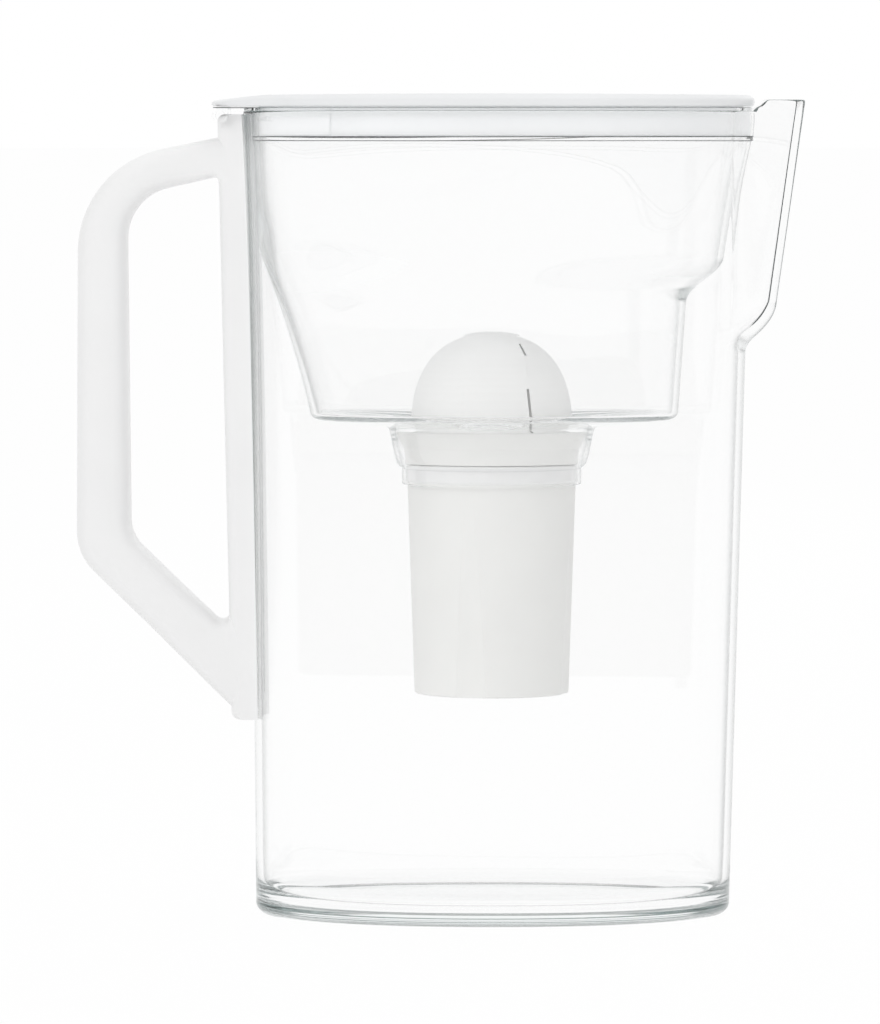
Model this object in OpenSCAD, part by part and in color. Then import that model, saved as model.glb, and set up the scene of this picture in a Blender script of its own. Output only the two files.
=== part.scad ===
// Water filter pitcher with a flip lid.
// A clear oval jug with a beak spout and a white loop handle, a clear hopper that hangs
// inside it, a drop-in filter cartridge and a white lid that hinges on the hopper.
// Millimetres, +Z up. The origin is on the table, under the axis of the cartridge.
// The handle is at -X and the spout at +X.

/* [Jug] */
// Height of the jug rim that the hopper hangs on
jug_h = 263.8; // [250:0.1:290]
// From the cartridge axis to the rear wall, at the base
base_rear = 77.7; // [74:0.1:84]
// From the cartridge axis to the front wall, at the base
base_front = 78.4; // [74:0.1:84]
// Half of the jug's width, at the base
base_half = 49.4; // [47:0.1:56]
// How much further out the rear wall is at the rim
rear_flare = 3.9; // [2:0.1:5]
// How much further out the front wall is at the rim
front_flare = 7.1; // [5:0.1:9]
// How much further out each side wall is at the rim
side_flare = 4.8; // [3:0.1:7]
// Roundness of the oval, where 2 is an ellipse and more is squarer
oval_power = 2.2; // [2:0.05:2.5]
// Wall of the jug
jug_wall = 2.4; // [2:0.1:2.8]
// Floor of the jug
jug_floor = 3.6; // [2.6:0.1:6]
// Radius of the outer edge round the base
base_edge_r = 3.5; // [1.5:0.1:5]
// Radius between the floor and the wall, inside
floor_r = 8.5; // [5:0.1:12]

/* [Spout] */
// From the rim down to where the spout leaves the front wall
spout_drop = 78.8; // [65:0.1:90]
// Height over which the spout swells out to its foot
spout_swell = 13; // [9:0.1:18]
// How far the spout stands out past the front wall, at its foot
spout_foot = 9.7; // [7:0.1:12]
// How far the spout stands out past the front wall, at its lip
spout_reach = 17.3; // [14:0.1:22]
// Half of the spout's width where it leaves the wall
spout_half = 23; // [20:0.5:27]
// How far the lip of the spout stands above the rim
spout_rise = 3.7; // [2.5:0.1:4.5]

/* [Handle] */
// From the cartridge axis to the outside of the grip, at its lower corner
grip_out = 136.5; // [130:0.1:146]
// How much further in the outside of the grip is at its upper corner
grip_lean = 0.8; // [0:0.1:2]
// Thickness of the grip at its upper corner, seen from the side
grip_t = 16.1; // [14:0.1:18]
// How much thicker the grip is at its lower corner
grip_swell = 1.9; // [0:0.1:2.4]
// Half of the handle's width, seen from behind
handle_half = 12.6; // [11:0.1:12.9]
// Thickness of the spine behind the jug wall, at its foot
spine_t = 7.2; // [6.4:0.1:9]
// How much thicker the spine is at the top of the handle
spine_taper = 1.2; // [0:0.1:2]
// Height of the foot of the spine
spine_foot_z = 64.4; // [55:0.1:75]
// From the rim down to the top of the spine
spine_top_drop = 1.1; // [1:0.1:3]
// From the rim down to the top of the upper arm, at the spine
arm_drop = 8.6; // [8:0.1:12]
// Thickness of the upper arm, at the spine
arm_t = 12.8; // [11:0.1:15]
// Fall of the upper arm from the spine to the outer corner
arm_fall = 9.5; // [4:0.1:14]
// Outer radius of the upper corner
top_corner_r = 34.5; // [25:0.5:40]
// Height of the outer lower corner
low_corner_z = 118.2; // [108:0.1:128]
// Height at which the outside of the lower arm meets the spine
low_arm_z = 68.3; // [66:0.1:72]
// Thickness of the lower arm
low_arm_t = 17.2; // [14:0.1:18]
// Wall of the two handle halves
handle_wall = 2.4; // [1.8:0.1:3]
// Half width of the rib on the jug that the spine slides over
rib_half = 4; // [3:0.1:5]
// How far that rib stands out of the jug wall
rib_t = 3; // [2:0.1:3.5]

/* [Hopper] */
// Thickness of the flange that rests on the jug rim
flange_t = 1.2; // [1:0.1:1.6]
// Wall of the collar round the lid's skirt
collar_wall = 1.5; // [1.3:0.1:1.8]
// From the rim down to the top of the ledge inside the collar
ledge_drop = 8.2; // [7.5:0.1:11]
// Height of that ledge
ledge_t = 1.5; // [1.2:0.1:2]
// Wall of the hopper below the ledge
hopper_wall = 2; // [1.6:0.1:2.4]
// From the rim down to the underside of the hopper's floor, at the ends
hopper_depth = 101; // [92:0.1:106]
// From the cartridge axis to the rear end of that floor
hopper_floor_rear = 59; // [52:0.1:62]
// From the cartridge axis to the front end of that floor
hopper_floor_front = 61; // [54:0.1:63]
// Half of the floor's width
hopper_floor_half = 40; // [38:0.1:43]
// Lean of the rear wall at the floor, in mm out for each mm up
rear_lean = 0.225; // [0.2:0.005:0.25]
// How much that lean grows for each mm up
rear_bow = 0.0032; // [0.002:0.0002:0.0036]
// Lean of the side walls
side_lean = 0.17; // [0.14:0.005:0.2]
// From the floor up to the shelf in the front wall
shelf_up = 41.2; // [36:0.1:46]
// Height of the shelf's slope
shelf_h = 9.2; // [7:0.1:12]
// How far the front wall steps out over the shelf
shelf_step = 11.2; // [8:0.1:12]
// Lean of the front wall below the shelf
front_lean = 0.07; // [0.04:0.005:0.1]
// Fall of the floor from its ends to the neck
floor_fall = 2.2; // [1:0.1:3]
// Clearance of the neck round the cartridge's flange
neck_gap = 0.4; // [0.3:0.1:0.8]
// Wall of the neck
neck_wall = 1.5; // [1.2:0.1:2]

/* [Cartridge] */
// Outer radius of the cartridge's flange
flange_r = 31.6; // [31:0.1:32]
// From the hopper floor's underside down to the top of that flange
flange_down = 2.8; // [2.8:0.1:3.6]
// Radius of the cup below its seal
cup_r = 27.6; // [27.2:0.1:27.8]
// Radius of the cup at its foot
cup_foot_r = 25.3; // [23:0.1:26.5]
// Height of the cup, from its foot to the top of the flange
cup_h = 87.4; // [80:0.1:96]
// From the top of the flange down to the foot of the band under it
band_drop = 11; // [10.5:0.1:12]
// Height of that band
band_h = 5.4; // [4:0.1:6]
// From the top of the flange down to the foot of the seal
seal_drop = 17.6; // [17.5:0.1:20]
// Wall of the cup
cup_wall = 2; // [1.8:0.1:2.2]
// How far the foot of the dome stands in from the outside of the cup
dome_in = 1.3; // [0.6:0.1:1.8]
// Height of the dome above the flange
dome_h = 31; // [26:0.1:36]
// Wall of the dome
dome_wall = 1.5; // [1:0.1:2]
// Thickness of each fleece disc
fleece_t = 1.2; // [0.8:0.1:2]
// Share of the filling's height that is resin
resin_share = 0.52; // [0.35:0.01:0.65]

/* [Lid] */
// Thickness of the lid at its edge
lid_edge_t = 3.4; // [3:0.1:4.4]
// How much higher the lid is in the middle
lid_crown = 0.9; // [0.4:0.1:2]
// How far the lid reaches past the flange, all round
lid_over = 0.7; // [0.4:0.1:1]
// How far the tab at the rear reaches past the lid's oval
tab_reach = 9.6; // [8.6:0.1:12]
// Half of the tab's width
tab_half = 20.6; // [20:0.1:22]
// Depth of the lid's skirt inside the collar
skirt_depth = 9.6; // [8.6:0.1:9.9]
// Wall of the skirt
skirt_wall = 1.6; // [1.2:0.1:2]
// Length of the flat recess in the near side of the skirt
recess_l = 8.8; // [6:0.1:14]
// From the cartridge axis back to the middle of that recess
recess_back = 47.4; // [40:0.1:56]

/* [Hinge] */
// From the rear of the jug rim to the hinge axis
hinge_back = 6.9; // [6.6:0.1:8]
// Radius of the hinge pins
pin_r = 1.5; // [1.2:0.05:1.6]
// Thickness of each ear on the hopper
ear_t = 3; // [2.5:0.1:4]
// Thickness of each lug on the lid
lug_t = 3.4; // [2.8:0.1:3.6]

/* [Hidden] */

$fn = 96;
slip = 0.3;            // clearance between pieces that part or slide
pin_fit = 0.08;        // radial clearance of the hinge pins
plan_n = 64;           // points round the oval
crowd = 14.3;          // degrees by which they crowd to the front and rear

function mix(a, b, t) = a + (b - a) * t;
function clamp01(t) = min(1, max(0, t));
function ease(t) = let (c = clamp01(t)) c * c * (3 - 2 * c);
function spow(v, e) = sign(v) * pow(abs(v), e);
// The lower of two values, rounded over a band k where they cross
function soft_min(a, b, k) = let (h = clamp01(0.5 + (b - a) / (2 * k)))
    mix(b, a, h) - k * h * (1 - h);

// ---- skins over rings of points ----

// Closed skin over rings of equal length that run counter-clockwise round the way they go.
// With tube set, the last ring joins the first; otherwise both ends are closed flat.
module loft(rings, tube = false) {
    n = len(rings[0]);
    m = len(rings);
    last = tube ? m - 1 : m - 2;
    sides = [for (j = [0:last], i = [0:n - 1])
        let (k = (i + 1) % n, a = j * n, b = ((j + 1) % m) * n)
        each [[a + i, b + i, b + k], [a + i, b + k, a + k]]];
    ends = tube ? [] : [[for (i = [0:n - 1]) i],
                        [for (i = [n - 1:-1:0]) (m - 1) * n + i]];
    polyhedron(points = [for (r = rings) each r], faces = concat(sides, ends));
}

// Point i of an oval that reaches from -rear to front, seen from above
function plan_point(i, rear, front, half, power) =
    let (t = 360 * i / plan_n, a = t - crowd * sin(2 * t))
    [(front - rear) / 2 + (front + rear) / 2 * spow(cos(a), 2 / power),
     half * spow(sin(a), 2 / power)];
function plan(rear, front, half, power = oval_power) =
    [for (i = [0:plan_n - 1]) plan_point(i, rear, front, half, power)];
function at_z(points, z) = [for (p = points) [p[0], p[1], z]];

// Swell of a beak across its half width
function bump(t) = abs(t) >= 1 ? 0 : pow(cos(90 * t), 2);
function beaked(points, out, half) =
    [for (p = points) p[0] > 0 ? [p[0] + out * bump(p[1] / half), p[1]] : p];

// ---- jug ----

function jug_rear(z) = let (u = z / jug_h) base_rear + rear_flare * (u + pow(u, 6)) / 2;
function jug_front(z) = base_front + front_flare * z / jug_h;
function jug_half(z) = base_half + side_flare * z / jug_h;

spout_z = jug_h - spout_drop;
spout_full_z = spout_z + spout_swell;
lip_z = jug_h + spout_rise;
throat_lift = 1.6;     // the inside of the swell sits this much higher than the outside

function spout_out(z) = ease((z - spout_z) / spout_swell)
    * mix(spout_foot, spout_reach, clamp01((z - spout_full_z) / (lip_z - spout_full_z)));

// The jug's outline at height z, drawn in by inset; the spout takes its size from zs
function jug_plan(z, inset, zs) =
    beaked(plan(jug_rear(z) - inset, jug_front(z) - inset, jug_half(z) - inset),
           spout_out(zs), spout_half - 0.6 * inset);
function jug_outer(z) = at_z(jug_plan(z, 0, z), z);
function jug_inner(z) = at_z(jug_plan(z, jug_wall, z - throat_lift), z);

// The rim is level under the hopper's flange. Past it, a small step brings it up beside the
// flange, and from there it rises over the spout
step_from = jug_front(jug_h) + 0.1;
lip_from = step_from + 0.6;
lip_run = 4.2;
function rim_z(x) = jug_h + flange_t * ease((x - step_from) / 0.6)
    + (spout_rise - flange_t) * ease((x - lip_from) / lip_run);
function rim_ring(inset, drop) =
    [for (p = jug_plan(jug_h, inset, lip_z)) [p[0], p[1], rim_z(p[0]) - drop]];

wall_heights = [45, 100, 150, spout_z - 2,
    for (k = [1:5]) spout_z + spout_swell * k / 5 - 0.9,
    spout_full_z + 16, jug_h - 28, jug_h - 8];
rim_round = 0.7;

module jug_shell() {
    foot = [for (a = [0:30:90]) at_z(jug_plan(base_edge_r, base_edge_r * (1 - sin(a)), 0),
                                     base_edge_r * (1 - cos(a)))];
    outside = [for (z = wall_heights) jug_outer(z)];
    rim = [rim_ring(0, rim_round), rim_ring(rim_round, 0),
           rim_ring(jug_wall - rim_round, 0), rim_ring(jug_wall, rim_round)];
    inside = [for (k = [len(wall_heights) - 1:-1:0])
              let (z = wall_heights[k]) jug_inner(z + (z > spout_z - 3 && k < 9
                                                       ? throat_lift : 0))];
    bowl = [for (a = [90:-22.5:0]) at_z(
        jug_plan(jug_floor + floor_r, jug_wall + floor_r * (1 - sin(a)), 0),
        jug_floor + floor_r * (1 - cos(a)))];
    color("#e9f0f1", 0.4) union() {
        loft(concat(foot, outside, rim, inside, bowl));
        jug_rib();
    }
}

// ---- handle ----

// Rear face of the jug wall at height z, y off the middle
function wall_x(z, y) =
    let (r = jug_rear(z), f = jug_front(z), b = jug_half(z))
    (f - r) / 2 - (f + r) / 2 * pow(1 - pow(abs(y) / b, oval_power), 1 / oval_power);

spine_top_z = jug_h - spine_top_drop;
arm_z = jug_h - arm_drop;
// Rear face of the spine: a straight line, leaning back a little
spine_x0 = wall_x(spine_foot_z, 0) - spine_t;
spine_slope = (wall_x(arm_z, 0) - spine_t - spine_taper - spine_x0) / (arm_z - spine_foot_z);
function spine_x(z) = spine_x0 + spine_slope * (z - spine_foot_z);

rib_foot_z = spine_foot_z + 8;
rib_top_z = spine_top_z - 6;
rib_steps = 6;

// Rib on the jug's rear wall, rooted in the wall
module jug_rib() {
    loft([for (k = [0:rib_steps]) let (z = mix(rib_foot_z, rib_top_z, k / rib_steps))
        [[wall_x(z, 0) + jug_wall / 2, -rib_half, z], [wall_x(z, 0) + jug_wall / 2, rib_half, z],
         [wall_x(z, 0) - rib_t, rib_half, z], [wall_x(z, 0) - rib_t, -rib_half, z]]]);
}

// Half of the spine's outline at height z, from the slot round to the rear face
function spine_half_outline(z, ease_r) = let (
    s = rib_half + slip, r = 3, xr = spine_x(z) + ease_r)
    concat([[wall_x(z, 0) - rib_t - slip, s]],
           [for (y = [s, 6.5, 9, 11, handle_half]) [wall_x(z, y) - slip, y]],
           [for (a = [0:30:90]) [xr + r - r * sin(a), handle_half - r + r * cos(a)]]);
function spine_ring(z, ease_r) = let (h = spine_half_outline(z, ease_r), n = len(h))
    at_z([for (i = [0:n - 1]) h[i], for (i = [n - 1:-1:0]) [h[i][0], -h[i][1]]], z);

module handle_spine() {
    edge = 2.5;
    low = [for (a = [0:30:90]) spine_ring(spine_foot_z + edge * (1 - cos(a)),
                                          edge * (1 - sin(a)))];
    mid = [for (k = [1:7]) spine_ring(mix(spine_foot_z + edge, spine_top_z - edge, k / 8), 0)];
    high = [for (a = [90:-30:0]) spine_ring(spine_top_z - edge * (1 - cos(a)),
                                            edge * (1 - sin(a)))];
    color("#eef0f1") loft(concat(low, mid, high));
}

// A rounded corner of a path as n + 1 points; a straight one spreads them over run
function unit(v) = v / norm(v);
function corner(p0, p1, p2, r, n, run) =
    let (d = unit(p1 - p0), e = unit(p2 - p1), turn = acos(min(1, d * e)))
    turn < 1 ? [for (k = [0:n]) p1 + d * run * (k / n - 0.5)]
    : let (t = r * tan(turn / 2), w = cos(turn / 2))
      [for (k = [0:n]) let (u = k / n, a = (1 - u) * (1 - u), b = 2 * u * (1 - u) * w, c = u * u)
        (a * (p1 - d * t) + b * p1 + c * (p1 + e * t)) / (a + b + c)];
// A path through corner points; stops holds [radius, steps, run] for each corner between
function path(points, stops) = [points[0],
    for (i = [1:len(points) - 2])
        each corner(points[i - 1], points[i], points[i + 1],
                    stops[i - 1][0], stops[i - 1][1], stops[i - 1][2]),
    points[len(points) - 1]];

low_out = [-grip_out, low_corner_z];
low_end = [spine_x(low_arm_z), low_arm_z];
low_way = unit(low_end - low_out);
low_side = [-low_way[1], low_way[0]];
top_end = [spine_x(arm_z), arm_z];
top_out = [-grip_out + grip_lean, arm_z - arm_fall];
grip_in = top_out[0] + grip_t;         // inside of the grip at the upper corner
grip_in_low = -grip_out + grip_t + grip_swell;
// Inside of the lower arm, at distance low_arm_t from its outside
function low_in_z(x) = let (p = low_out + low_side * low_arm_t)
    p[1] + (x - p[0]) * low_way[1] / low_way[0];
low_in = [grip_in_low, low_in_z(grip_in_low)];
low_in_root = [spine_x(low_arm_z + 25), low_in_z(spine_x(low_arm_z + 25))];
top_in_root = [spine_x(arm_z - arm_t), arm_z - arm_t];
arm_in_fall = 6.9;     // fall of the inside of the upper arm
top_in = [grip_in, arm_z - arm_t - arm_in_fall];
root_r = 2.6;

outer_path = path(
    [low_end, low_end - low_way * 8, low_out, top_out,
     top_end + unit(top_out - top_end) * 3, top_end],
    [[0, 4, 10], [18, 4, 0], [top_corner_r, 8, 0], [0, 3, 3]]);
inner_path = path(
    [[spine_x(low_in_root[1] + 6.4), low_in_root[1] + 6.4], low_in_root, low_in, top_in,
     top_in_root, [spine_x(top_in_root[1] - 3), top_in_root[1] - 3]],
    [[root_r, 4, 0], [12, 4, 0], [17, 8, 0], [1.6, 3, 0]]);

// Half of the loop's section between an outer and an inner point, as a shell on one side
section_steps = 7;
function loop_ring(po, pi, power) = let (m = (po + pi) / 2, h = (po - pi) / 2, l = norm(h),
        e = 2 / power, thin = (l - handle_wall) / l)
    [for (k = [0:section_steps]) let (a = 180 * k / section_steps,
            p = m + h * spow(cos(a), e)) [p[0], -handle_half * spow(sin(a), e), p[1]],
     for (k = [section_steps:-1:0]) let (a = 180 * k / section_steps,
            p = m + h * thin * spow(cos(a), e))
        [p[0], -(handle_half - handle_wall) * spow(sin(a), e), p[1]]];
// The section is rounded along the grip and squares up where the arms meet the spine
function section_power(p) = mix(3, 5.5, ease(1 - (spine_x(p[1]) - p[0]) / 22));

module half_loop() {
    loft([for (i = [0:len(outer_path) - 1]) loop_ring(outer_path[i], inner_path[i],
        section_power((outer_path[i] + inner_path[i]) / 2))]);
}
module handle_shell_near() { color("#f0f0f0") half_loop(); }
module handle_shell_far() { color("#f0f0f0") mirror([0, 1, 0]) half_loop(); }

// ---- hopper ----

flange_z = jug_h + flange_t;           // top of the hopper's flange
ledge_z = jug_h - ledge_drop;          // top of the ledge that the skirt stands over
hopper_z = jug_h - hopper_depth;       // underside of the floor at its ends
neck_z = hopper_z - floor_fall;        // underside of the floor at the neck
shelf_z = hopper_z + shelf_up;
collar_gap = 0.25;                     // between the collar and the jug wall
wall_gap = 0.6;                        // between the hopper and the jug wall, below
nose_half = 15;                        // the collar's front closes the spout's mouth
nose_out = 2.4;
rear_soft = 7;         // the inside of the rear wall bends more softly than the outside

// The hopper's outline at height z, drawn in by inset
function hopper_rear(z, k = 2) = let (h = z - hopper_z)
    soft_min(jug_rear(z) - jug_wall - wall_gap,
             hopper_floor_rear + (rear_lean + rear_bow / 2 * h) * h, k);
function hopper_half(z) = soft_min(jug_half(z) - jug_wall - wall_gap,
    hopper_floor_half + side_lean * (z - hopper_z), 3);
shelf_top_z = shelf_z + shelf_h;
shelf_top_x = hopper_floor_front + front_lean * (shelf_top_z - hopper_z) + shelf_step;
ledge_front = jug_front(ledge_z) - jug_wall - wall_gap;
front_slope = (ledge_front - shelf_top_x) / (ledge_z - shelf_top_z);
shelf_slope = front_lean + shelf_step / shelf_h;
shelf_soft = 3.4;      // rounding of the wall at the foot and the top of the shelf
// Below the shelf, on its slope and above it are three straight lines, rounded together
function hopper_front(z) = soft_min(shelf_top_x + front_slope * (z - shelf_top_z),
    -soft_min(-(hopper_floor_front + front_lean * (z - hopper_z)),
              -(shelf_top_x + shelf_slope * (z - shelf_top_z)), shelf_soft), shelf_soft);
function nose(z) = nose_out * ease((z - ledge_z + 22) / (jug_h - ledge_z + 22));
function hopper_plan(z, inset) = beaked(
    plan(hopper_rear(z, inset > 0 ? rear_soft : 2) - inset, hopper_front(z) - inset,
         hopper_half(z) - inset),
    nose(z), nose_half - inset / 2);
// The collar follows the inside of the jug, less a gap
function collar_plan(z, inset) = let (e = jug_wall + collar_gap + inset) beaked(
    plan(jug_rear(z) - e, jug_front(z) - e, jug_half(z) - e), nose(z), nose_half - inset / 2);
function flange_plan(inset) = beaked(
    plan(jug_rear(jug_h) - inset, jug_front(jug_h) - inset, jug_half(jug_h) - inset),
    0.1, nose_half);

hopper_heights = [16, shelf_up - 4, shelf_up - 1.3, shelf_up + 1, shelf_up + 3,
    shelf_up + shelf_h - 2.4, shelf_up + shelf_h, shelf_up + shelf_h + 2.6,
    shelf_up + shelf_h + 6, shelf_up + shelf_h + 11, shelf_up + shelf_h + 18,
    hopper_depth - ledge_drop - ledge_t - 0.8];
corner_r = 2.7;        // outer radius between the hopper's floor and wall
neck_in = flange_r + neck_gap;
neck_r = neck_in + neck_wall;          // outside of the neck, just under the floor
function neck_ring(r, z) = at_z(plan(r, r, r, 2), z);

module hopper_body() {
    cw = collar_wall;
    hw = hopper_wall;
    in_r = corner_r - hw;
    under = [neck_ring(neck_r - 0.3, neck_z - 1.6), neck_ring(neck_r + 1.4, neck_z),
        for (a = [0:30:90]) at_z(hopper_plan(hopper_z + corner_r, corner_r * (1 - sin(a))),
                                 hopper_z + corner_r * (1 - cos(a)))];
    outside = [for (h = hopper_heights) at_z(hopper_plan(hopper_z + h, 0), hopper_z + h)];
    low = ledge_z - ledge_t;
    collar = [at_z(collar_plan(low, 0), low), at_z(collar_plan(jug_h, 0), jug_h),
              at_z(flange_plan(slip), jug_h), at_z(flange_plan(slip), flange_z - 0.3),
              at_z(flange_plan(slip + 0.3), flange_z),
              at_z(collar_plan(jug_h, cw), flange_z),
              at_z(collar_plan(ledge_z, cw), ledge_z),
              at_z(hopper_plan(ledge_z, hw), ledge_z)];
    inside = [for (k = [len(hopper_heights) - 2:-1:1]) let (h = hopper_heights[k])
        at_z(hopper_plan(hopper_z + h, hw), hopper_z + h + (h > shelf_up ? 0 : 0.8))];
    bowl = [for (a = [90:-45:0]) at_z(
        hopper_plan(hopper_z + corner_r, hw + in_r * (1 - sin(a))),
        hopper_z + hw + in_r * (1 - cos(a)))];
    throat = [neck_ring(neck_in + 2.4, neck_z + hw + 0.2), neck_ring(neck_in + 0.2, neck_z - 1.6)];
    loft(concat(under, outside, collar, inside, bowl, throat), tube = true);
}

// The neck narrows in steps to the sleeve that holds the seal, with a lip under it
flange_top = hopper_z - flange_down;   // top of the cartridge's flange
ring_foot = flange_top - band_drop;    // foot of the band above the seal
seat_z = flange_top - seal_drop - 0.1;
sleeve_top = seat_z + 4.4;
sleeve_wall = 1.2;
band_r = cup_r + 1.1;
step_in = band_r + 0.8;                // inside of the neck beside that band
seal_r = cup_r + 0.55;
sleeve_r = seal_r + 0.06;
neck_lip = 0.8;
module hopper_neck() {
    rotate_extrude() polygon([
        [neck_in, neck_z + 0.6], [neck_r - 0.2, neck_z + 0.6], [neck_r, neck_z - 1.8],
        [step_in + neck_wall + 1, ring_foot + 2.4], [step_in + neck_wall, ring_foot - 0.9],
        [sleeve_r + sleeve_wall, sleeve_top], [sleeve_r + sleeve_wall, seat_z - neck_lip],
        [cup_r + slip, seat_z - neck_lip], [cup_r + slip, seat_z], [sleeve_r, seat_z],
        [sleeve_r, sleeve_top], [step_in, ring_foot - 0.9],
        [step_in + 1, ring_foot + 2.4], [neck_in, neck_z - 1.8]]);
}

// Two ears behind the rim hold the lid's pins
hinge_x = -(jug_rear(jug_h) + hinge_back);
ear_r = 2.7;
hinge_z = flange_z - ear_r;
lug_in = handle_half + 0.7;            // inner face of each lug
ear_in = lug_in + lug_t + slip;
module ear_pair() {
    rear_x = wall_x(jug_h, ear_in) - slip;      // just behind the jug's rim
    for (s = [-1, 1]) translate([0, s * (ear_in + ear_t / 2), 0]) {
        translate([hinge_x, 0, hinge_z]) rotate([90, 0, 0])
            cylinder(r = ear_r, h = ear_t, center = true);
        translate([hinge_x, -ear_t / 2, hinge_z + 0.4])
            cube([rear_x - hinge_x, ear_t, ear_r - 0.4]);
        translate([hinge_x, -ear_t / 2, jug_h])
            cube([rear_x + jug_wall - hinge_x, ear_t, flange_t]);
    }
}
module hopper_shell() {
    color("#e9f0f1", 0.4) difference() {
        union() {
            hopper_body();
            hopper_neck();
            ear_pair();
        }
        for (s = [-1, 1]) translate([hinge_x, s * (ear_in + ear_t / 2), hinge_z])
            rotate([90, 0, 0]) cylinder(r = pin_r + pin_fit, h = ear_t + 2, center = true);
    }
}

// ---- cartridge ----

cup_foot = flange_top - cup_h;
seal_foot = flange_top - seal_drop;
groove_r = cup_r - 0.8;
rim_in = 19;           // the cup's floor is a rim round its outlet
// Radius of the cup's wall at height z, outside and inside
function cup_out(z) = mix(cup_foot_r, cup_r, (z - cup_foot) / (seal_foot - cup_foot));
function cup_in(z) = mix(cup_foot_r, groove_r, clamp01((z - cup_foot) / (seal_foot - cup_foot)))
    - cup_wall;

// Each flute starts as a point in the wall and is widest and deepest at the foot
flute_r = 24;
flute_deep = 1;
flute_l = 62;
module cup_flute(turn) {
    lean = atan((cup_out(cup_foot + flute_l) - cup_foot_r + flute_deep) / flute_l);
    rotate([0, 0, turn]) translate([cup_foot_r + flute_r - flute_deep, 0, cup_foot])
        rotate([0, lean, 0]) translate([0, 0, -3]) cylinder(r = flute_r, h = flute_l + 3);
}

module cartridge_cup() {
    color("#ececea") difference() {
        rotate_extrude() polygon([
            [rim_in, cup_foot], [cup_foot_r - 0.4, cup_foot], [cup_foot_r, cup_foot + 0.4],
            [cup_out(seal_foot), seal_foot], [groove_r, seal_foot], [groove_r, ring_foot],
            [band_r - 0.5, ring_foot], [band_r, ring_foot + band_h - 0.5],
            [band_r + 0.2, ring_foot + band_h], [flange_r, flange_top - 0.5],
            [flange_r, flange_top], [cup_in(flange_top), flange_top],
            [cup_in(seal_foot), seal_foot], [cup_in(cup_foot + cup_wall), cup_foot + cup_wall],
            [rim_in, cup_foot + cup_wall]]);
        for (k = [0:3]) cup_flute(-106 + 90 * k);
    }
}

module cartridge_seal() {
    color("#e6e6e6") rotate_extrude() polygon([
        [groove_r + 0.1, seal_foot], [seal_r - 0.3, seal_foot], [seal_r, seal_foot + 0.6],
        [seal_r, ring_foot - 0.5], [seal_r - 0.3, ring_foot - 0.2],
        [groove_r + 0.1, ring_foot - 0.2]]);
}

// The dome is half of a full oval, turned about the axis
dome_r = cup_r - dome_in;
dome_power = 2.35;
module dome_solid(grow) {
    rotate_extrude() polygon(concat([[0, -1], [dome_r + grow, -1]],
        [for (a = [0:5:90]) [(dome_r + grow) * spow(cos(a), 2 / dome_power),
                             (dome_h + grow) * spow(sin(a), 2 / dome_power)]]));
}
// A shape drawn in front view, cut right through the front half of the dome
module front_cut(points) {
    rotate([90, 0, 0]) linear_extrude(dome_r + 4)
        polygon([for (p = points) [p[0] * dome_r, p[1] * dome_h]]);
}
strap_out = 0.6;
module dome_strap() {
    intersection() {
        dome_solid(strap_out);
        front_cut([[-0.346, 0], [0.488, 0], [0.442, 0.42], [0.4, 0.79], [0.34, 0.9],
                   [0.2, 1.1], [-0.346, 1.1]]);
    }
}
module cartridge_dome() {
    color("#efefed") translate([0, 0, flange_top]) difference() {
        intersection() {
            union() {
                dome_solid(0);
                for (turn = [0, 180]) rotate([0, 0, turn]) dome_strap();
            }
            translate([-dome_r * 2, -dome_r * 2, 0]) cube([dome_r * 4, dome_r * 4, dome_h * 2]);
        }
        dome_solid(-dome_wall);
        for (turn = [0, 180]) rotate([0, 0, turn]) translate([0, -1, 0]) {
            front_cut([[0.472, 0.03], [0.504, 0.03], [0.452, 0.44], [0.42, 0.44]]);
            front_cut([[0.4, 0.78], [0.428, 0.78], [0.352, 0.9], [0.33, 0.9]]);
        }
    }
}

// A disc that fits the cup's bore from one height to another
disc_gap = 0.15;
module bore_disc(from_z, to_z) {
    translate([0, 0, from_z]) cylinder(r1 = cup_in(from_z) - disc_gap,
                                       r2 = cup_in(to_z) - disc_gap, h = to_z - from_z);
}
grid_t = 1.2;
module slotted_disc(from_z) {
    difference() {
        bore_disc(from_z, from_z + grid_t);
        for (turn = [0:30:330]) rotate([0, 0, turn]) translate([6, -0.8, from_z - 1])
            cube([rim_in - 7.5, 1.6, grid_t + 2]);
    }
}
grid_z = cup_foot + cup_wall;
fill_z = grid_z + grid_t + fleece_t;
screen_z = flange_top - 0.4 - grid_t;
fill_top = screen_z - fleece_t;
divider_z = mix(fill_z, fill_top, resin_share);
module outlet_grid() { color("#e4e4e2") slotted_disc(grid_z); }
module bottom_fleece() { color("#f4f4f2") bore_disc(grid_z + grid_t, fill_z); }
module resin_bed() { color("#d9c9a0") bore_disc(fill_z, divider_z); }
module divider_fleece() { color("#f4f4f2") bore_disc(divider_z, divider_z + fleece_t); }
module carbon_bed() { color("#2c2c2e") bore_disc(divider_z + fleece_t, fill_top); }
module top_fleece() { color("#f4f4f2") bore_disc(fill_top, screen_z); }
module inlet_screen() { color("#e4e4e2") slotted_disc(screen_z); }

// ---- lid ----

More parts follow.
